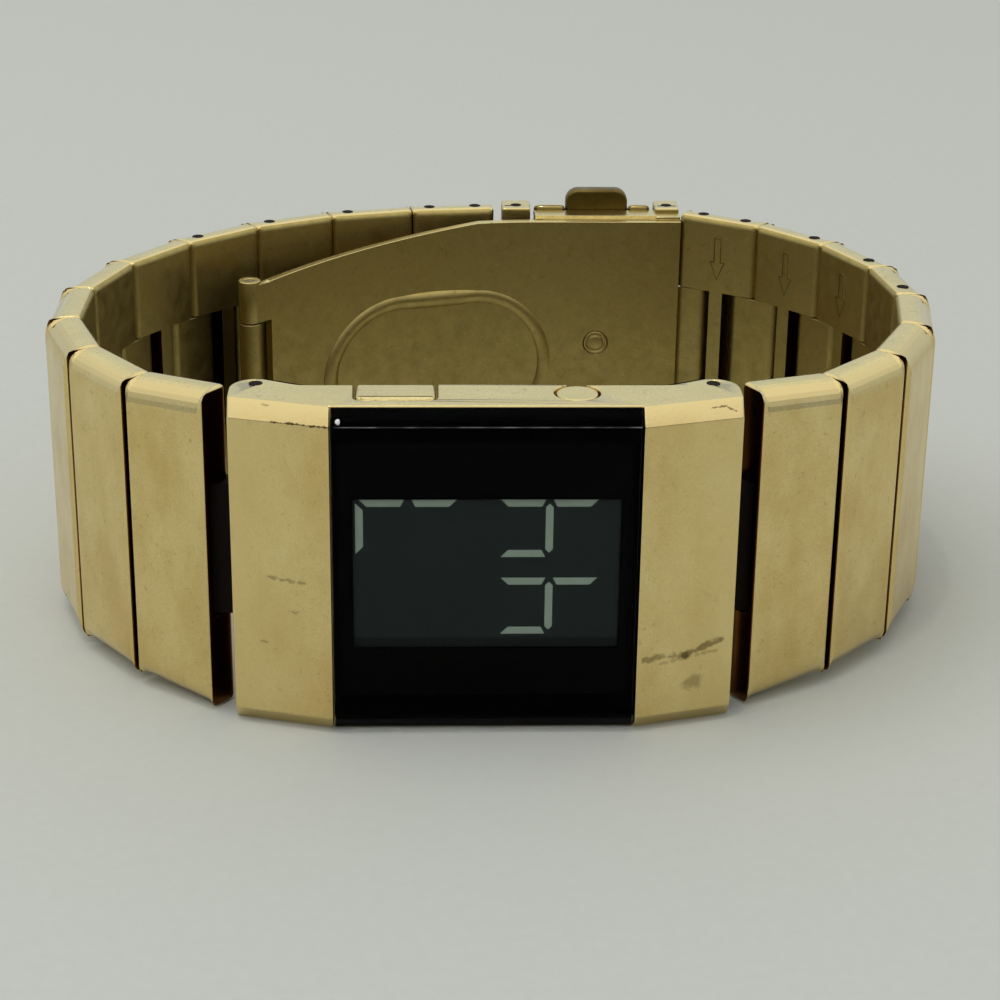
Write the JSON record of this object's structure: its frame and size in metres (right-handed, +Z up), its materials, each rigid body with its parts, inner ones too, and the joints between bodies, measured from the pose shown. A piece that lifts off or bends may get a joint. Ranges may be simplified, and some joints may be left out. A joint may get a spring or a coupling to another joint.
{
  "type": "lcd bracelet watch",
  "caption": "Gold-plated rectangular digital watch on a link bracelet with a push-button folding clasp, closed and standing on edge",
  "frame": {"origin": "centre of the closed band's footprint, at the level of the lower clasp button's tip", "axes": "+X along the case to the right seen from the lens, +Y from the lens back to the clasp, +Z up across the band"},
  "size_m": [0.0672, 0.0534, 0.0255],
  "materials": {
    "gold_plate": "polished gold plating on steel, worn",
    "gold_inner": "brushed gold plating on steel",
    "steel": "brushed",
    "lens_glass": "clear mineral glass",
    "gasket_rubber": "matte",
    "mask_black": "printed black",
    "display": "display cell behind a dark filter",
    "segments": "lit segment",
    "board": "solder mask"
  },
  "bodies": {
    "head": {"case": "gold_plate", "lens": "lens_glass", "lens_gasket": "gasket_rubber", "display_mask": "mask_black", "lcd_panel": "display", "lcd_digits": "segments", "circuit_board": "board", "battery": "steel", "battery_clip": "steel", "case_back": "steel", "case_back_screws": "steel", "pusher_springs": "steel"},
    "mode_pusher": {"mode_pusher": "gold_plate"},
    "set_pusher": {"set_pusher": "gold_plate"},
    "left_connector_1": {"left_connector_1": "gold_inner"},
    "left_link_1": {"left_link_1": "gold_plate"},
    "left_connector_2": {"left_connector_2": "gold_inner"},
    "left_link_2": {"left_link_2": "gold_plate"},
    "left_connector_3": {"left_connector_3": "gold_inner"},
    "left_link_3": {"left_link_3": "gold_plate"},
    "left_connector_4": {"left_connector_4": "gold_inner"},
    "left_link_4": {"left_link_4": "gold_plate"},
    "left_connector_5": {"left_connector_5": "gold_inner"},
    "left_link_5": {"left_link_5": "gold_plate"},
    "left_connector_6": {"left_connector_6": "gold_inner"},
    "left_link_6": {"left_link_6": "gold_plate"},
    "left_connector_7": {"left_connector_7": "gold_inner"},
    "left_link_7": {"left_link_7": "gold_plate"},
    "left_connector_8": {"left_connector_8": "gold_inner"},
    "left_link_8": {"left_link_8": "gold_plate"},
    "left_connector_9": {"left_connector_9": "gold_inner"},
    "left_link_9": {"left_link_9": "gold_plate"},
    "left_connector_10": {"left_connector_10": "gold_inner"},
    "left_link_10": {"left_link_10": "gold_plate"},
    "right_connector_1": {"right_connector_1": "gold_inner"},
    "right_link_1": {"right_link_1": "gold_plate"},
    "right_connector_2": {"right_connector_2": "gold_inner"},
    "right_link_2": {"right_link_2": "gold_plate"},
    "right_connector_3": {"right_connector_3": "gold_inner"},
    "right_link_3": {"right_link_3": "gold_plate"},
    "right_connector_4": {"right_connector_4": "gold_inner"},
    "right_link_4": {"right_link_4": "gold_plate"},
    "right_connector_5": {"right_connector_5": "gold_inner"},
    "right_link_5": {"right_link_5": "gold_plate"},
    "right_connector_6": {"right_connector_6": "gold_inner"},
    "right_link_6": {"right_link_6": "gold_plate"},
    "right_connector_7": {"right_connector_7": "gold_inner"},
    "right_link_7": {"right_link_7": "gold_plate"},
    "right_connector_8": {"right_connector_8": "gold_inner"},
    "right_link_8": {"right_link_8": "gold_plate"},
    "left_end_connector": {"left_end_connector": "gold_inner"},
    "right_end_connector": {"right_end_connector": "gold_inner"},
    "clasp": {"outer_blade": "gold_inner", "latch_cover": "gold_plate", "latch_springs": "steel", "clasp_hinge_pin": "steel"},
    "fold": {"inner_blade": "gold_inner", "catch_stud": "gold_inner"},
    "upper_button": {"upper_button": "gold_inner"},
    "lower_button": {"lower_button": "gold_inner"}
  },
  "joints": [
    {"name": "left_connector_1_pivot", "type": "hinge", "parent": "head", "child": "left_connector_1", "pos_m": [-0.01694, -0.02119, 0.01275], "axis": [0, 0, 1], "range_deg": [0, 3]},
    {"name": "left_link_1_pivot", "type": "hinge", "parent": "left_connector_1", "child": "left_link_1", "pos_m": [-0.02084, -0.02099, 0.01275], "axis": [0, 0, 1], "range_deg": [0, 12]},
    {"name": "left_connector_2_pivot", "type": "hinge", "parent": "left_link_1", "child": "left_connector_2", "pos_m": [-0.02395, -0.01864, 0.01275], "axis": [0, 0, 1], "range_deg": [0, 8]},
    {"name": "left_link_2_pivot", "type": "hinge", "parent": "left_connector_2", "child": "left_link_2", "pos_m": [-0.02621, -0.01638, 0.01275], "axis": [0, 0, 1], "range_deg": [0, 8]},
    {"name": "left_connector_3_pivot", "type": "hinge", "parent": "left_link_2", "child": "left_connector_3", "pos_m": [-0.02856, -0.01326, 0.01275], "axis": [0, 0, 1], "range_deg": [0, 9]},
    {"name": "left_link_3_pivot", "type": "hinge", "parent": "left_connector_3", "child": "left_link_3", "pos_m": [-0.03006, -0.01044, 0.01275], "axis": [0, 0, 1], "range_deg": [0, 9]},
    {"name": "left_connector_4_pivot", "type": "hinge", "parent": "left_link_3", "child": "left_connector_4", "pos_m": [-0.03133, -0.00675, 0.01275], "axis": [0, 0, 1], "range_deg": [0, 10]},
    {"name": "left_link_4_pivot", "type": "hinge", "parent": "left_connector_4", "child": "left_link_4", "pos_m": [-0.03183, -0.00359, 0.01275], "axis": [0, 0, 1], "range_deg": [0, 10]},
    {"name": "left_connector_5_pivot", "type": "hinge", "parent": "left_link_4", "child": "left_connector_5", "pos_m": [-0.03176, 0.00031, 0.01275], "axis": [0, 0, 1], "range_deg": [0, 9.5]},
    {"name": "left_link_5_pivot", "type": "hinge", "parent": "left_connector_5", "child": "left_link_5", "pos_m": [-0.03118, 0.00346, 0.01275], "axis": [0, 0, 1], "range_deg": [0, 9.5]},
    {"name": "left_connector_6_pivot", "type": "hinge", "parent": "left_link_5", "child": "left_connector_6", "pos_m": [-0.02985, 0.00712, 0.01275], "axis": [0, 0, 1], "range_deg": [0, 8]},
    {"name": "left_link_6_pivot", "type": "hinge", "parent": "left_connector_6", "child": "left_link_6", "pos_m": [-0.02834, 0.00995, 0.01275], "axis": [0, 0, 1], "range_deg": [0, 8]},
    {"name": "left_connector_7_pivot", "type": "hinge", "parent": "left_link_6", "child": "left_connector_7", "pos_m": [-0.02605, 0.0131, 0.01275], "axis": [0, 0, 1], "range_deg": [0, 6.5]},
    {"name": "left_link_7_pivot", "type": "hinge", "parent": "left_connector_7", "child": "left_link_7", "pos_m": [-0.02389, 0.01546, 0.01275], "axis": [0, 0, 1], "range_deg": [0, 6.5]},
    {"name": "left_connector_8_pivot", "type": "hinge", "parent": "left_link_7", "child": "left_connector_8", "pos_m": [-0.02095, 0.01802, 0.01275], "axis": [0, 0, 1], "range_deg": [0, 6.75]},
    {"name": "left_link_8_pivot", "type": "hinge", "parent": "left_connector_8", "child": "left_link_8", "pos_m": [-0.0183, 0.01982, 0.01275], "axis": [0, 0, 1], "range_deg": [0, 6.75]},
    {"name": "left_connector_9_pivot", "type": "hinge", "parent": "left_link_8", "child": "left_connector_9", "pos_m": [-0.01484, 0.02162, 0.01275], "axis": [0, 0, 1], "range_deg": [0, 6.35]},
    {"name": "left_link_9_pivot", "type": "hinge", "parent": "left_connector_9", "child": "left_link_9", "pos_m": [-0.01186, 0.02278, 0.01275], "axis": [0, 0, 1], "range_deg": [0, 6.35]},
    {"name": "left_connector_10_pivot", "type": "hinge", "parent": "left_link_9", "child": "left_connector_10", "pos_m": [-0.00809, 0.02377, 0.01275], "axis": [0, 0, 1], "range_deg": [0, 4.25]},
    {"name": "left_link_10_pivot", "type": "hinge", "parent": "left_connector_10", "child": "left_link_10", "pos_m": [-0.00494, 0.02436, 0.01275], "axis": [0, 0, 1], "range_deg": [0, 4.25]},
    {"name": "right_connector_1_pivot", "type": "hinge", "parent": "head", "child": "right_connector_1", "pos_m": [0.01426, -0.02119, 0.01275], "axis": [0, 0, -1], "range_deg": [0, 3]},
    {"name": "right_link_1_pivot", "type": "hinge", "parent": "right_connector_1", "child": "right_link_1", "pos_m": [0.01814, -0.02078, 0.01275], "axis": [0, 0, -1], "range_deg": [0, 12]},
    {"name": "right_connector_2_pivot", "type": "hinge", "parent": "right_link_1", "child": "right_connector_2", "pos_m": [0.02151, -0.01882, 0.01275], "axis": [0, 0, -1], "range_deg": [0, 8.15]},
    {"name": "right_link_2_pivot", "type": "hinge", "parent": "right_connector_2", "child": "right_link_2", "pos_m": [0.02402, -0.01683, 0.01275], "axis": [0, 0, -1], "range_deg": [0, 8.15]},
    {"name": "right_connector_3_pivot", "type": "hinge", "parent": "right_link_2", "child": "right_connector_3", "pos_m": [0.0267, -0.01401, 0.01275], "axis": [0, 0, -1], "range_deg": [0, 9]},
    {"name": "right_link_3_pivot", "type": "hinge", "parent": "right_connector_3", "child": "right_link_3", "pos_m": [0.02852, -0.01137, 0.01275], "axis": [0, 0, -1], "range_deg": [0, 9]},
    {"name": "right_connector_4_pivot", "type": "hinge", "parent": "right_link_3", "child": "right_connector_4", "pos_m": [0.03019, -0.00785, 0.01275], "axis": [0, 0, -1], "range_deg": [0, 8.75]},
    {"name": "right_link_4_pivot", "type": "hinge", "parent": "right_connector_4", "child": "right_link_4", "pos_m": [0.03112, -0.00478, 0.01275], "axis": [0, 0, -1], "range_deg": [0, 8.75]},
    {"name": "right_connector_5_pivot", "type": "hinge", "parent": "right_link_4", "child": "right_connector_5", "pos_m": [0.03166, -0.00092, 0.01275], "axis": [0, 0, -1], "range_deg": [0, 8]},
    {"name": "right_link_5_pivot", "type": "hinge", "parent": "right_connector_5", "child": "right_link_5", "pos_m": [0.03166, 0.00228, 0.01275], "axis": [0, 0, -1], "range_deg": [0, 8]},
    {"name": "right_connector_6_pivot", "type": "hinge", "parent": "right_link_5", "child": "right_connector_6", "pos_m": [0.03112, 0.00614, 0.01275], "axis": [0, 0, -1], "range_deg": [0, 8.75]},
    {"name": "right_link_6_pivot", "type": "hinge", "parent": "right_connector_6", "child": "right_link_6", "pos_m": [0.03019, 0.0092, 0.01275], "axis": [0, 0, -1], "range_deg": [0, 8.75]},
    {"name": "right_connector_7_pivot", "type": "hinge", "parent": "right_link_6", "child": "right_connector_7", "pos_m": [0.02852, 0.01272, 0.01275], "axis": [0, 0, -1], "range_deg": [0, 8.25]},
    {"name": "right_link_7_pivot", "type": "hinge", "parent": "right_connector_7", "child": "right_link_7", "pos_m": [0.02674, 0.01539, 0.01275], "axis": [0, 0, -1], "range_deg": [0, 8.25]},
    {"name": "right_connector_8_pivot", "type": "hinge", "parent": "right_link_7", "child": "right_connector_8", "pos_m": [0.02413, 0.01828, 0.01275], "axis": [0, 0, -1], "range_deg": [0, 8.2]},
    {"name": "right_link_8_pivot", "type": "hinge", "parent": "right_connector_8", "child": "right_link_8", "pos_m": [0.02167, 0.02033, 0.01275], "axis": [0, 0, -1], "range_deg": [0, 8.2]},
    {"name": "left_end_connector_pivot", "type": "hinge", "parent": "left_link_10", "child": "left_end_connector", "pos_m": [-0.00107, 0.02479, 0.01275], "axis": [0, 0, 1], "range_deg": [0, 3.15]},
    {"name": "clasp_pivot", "type": "hinge", "parent": "left_end_connector", "child": "clasp", "pos_m": [0.00258, 0.02499, 0.01275], "axis": [0, 0, 1], "range_deg": [0, 3.15]},
    {"name": "right_end_connector_pivot", "type": "hinge", "parent": "right_link_8", "child": "right_end_connector", "pos_m": [0.01835, 0.02238, 0.01275], "axis": [0, 0, -1], "range_deg": [0, 3]},
    {"name": "clasp_fold", "type": "hinge", "parent": "clasp", "child": "fold", "pos_m": [-0.01958, 0.01244, 0.01275], "axis": [0, 0, -1], "range_deg": [0, 60]},
    {"name": "upper_button_press", "type": "slide", "parent": "clasp", "child": "upper_button", "axis": [0, 0, -1], "range_m": [0, 0.001], "stiffness_N_per_m": 40, "springref_m": -0.015},
    {"name": "lower_button_press", "type": "slide", "parent": "clasp", "child": "lower_button", "axis": [0, 0, 1], "range_m": [0, 0.001], "stiffness_N_per_m": 40, "springref_m": -0.015},
    {"name": "mode_pusher_press", "type": "slide", "parent": "head", "child": "mode_pusher", "axis": [0, 0, -1], "range_m": [0, 0.00045], "stiffness_N_per_m": 40, "springref_m": -0.015},
    {"name": "set_pusher_press", "type": "slide", "parent": "head", "child": "set_pusher", "axis": [0, 0, -1], "range_m": [0, 0.00045], "stiffness_N_per_m": 40, "springref_m": -0.015}
  ],
  "couplings": [
    {"joint": "left_connector_1_pivot", "follows": "left_link_1_pivot", "ratio": 0.25},
    {"joint": "left_connector_2_pivot", "follows": "left_link_2_pivot", "ratio": 1},
    {"joint": "left_connector_3_pivot", "follows": "left_link_3_pivot", "ratio": 1},
    {"joint": "left_connector_4_pivot", "follows": "left_link_4_pivot", "ratio": 1},
    {"joint": "left_connector_5_pivot", "follows": "left_link_5_pivot", "ratio": 1},
    {"joint": "left_connector_6_pivot", "follows": "left_link_6_pivot", "ratio": 1},
    {"joint": "left_connector_7_pivot", "follows": "left_link_7_pivot", "ratio": 1},
    {"joint": "left_connector_8_pivot", "follows": "left_link_8_pivot", "ratio": 1},
    {"joint": "left_connector_9_pivot", "follows": "left_link_9_pivot", "ratio": 1},
    {"joint": "left_connector_10_pivot", "follows": "left_link_10_pivot", "ratio": 1},
    {"joint": "right_connector_1_pivot", "follows": "clasp_fold", "ratio": 0.05},
    {"joint": "right_link_1_pivot", "follows": "clasp_fold", "ratio": 0.2},
    {"joint": "right_connector_2_pivot", "follows": "right_link_2_pivot", "ratio": 1},
    {"joint": "right_connector_3_pivot", "follows": "right_link_3_pivot", "ratio": 1},
    {"joint": "right_connector_4_pivot", "follows": "right_link_4_pivot", "ratio": 1},
    {"joint": "right_connector_5_pivot", "follows": "right_link_5_pivot", "ratio": 1},
    {"joint": "right_connector_6_pivot", "follows": "right_link_6_pivot", "ratio": 1},
    {"joint": "right_connector_7_pivot", "follows": "right_link_7_pivot", "ratio": 1},
    {"joint": "right_connector_8_pivot", "follows": "right_link_8_pivot", "ratio": 1},
    {"joint": "left_end_connector_pivot", "follows": "clasp_pivot", "ratio": 1}
  ]
}
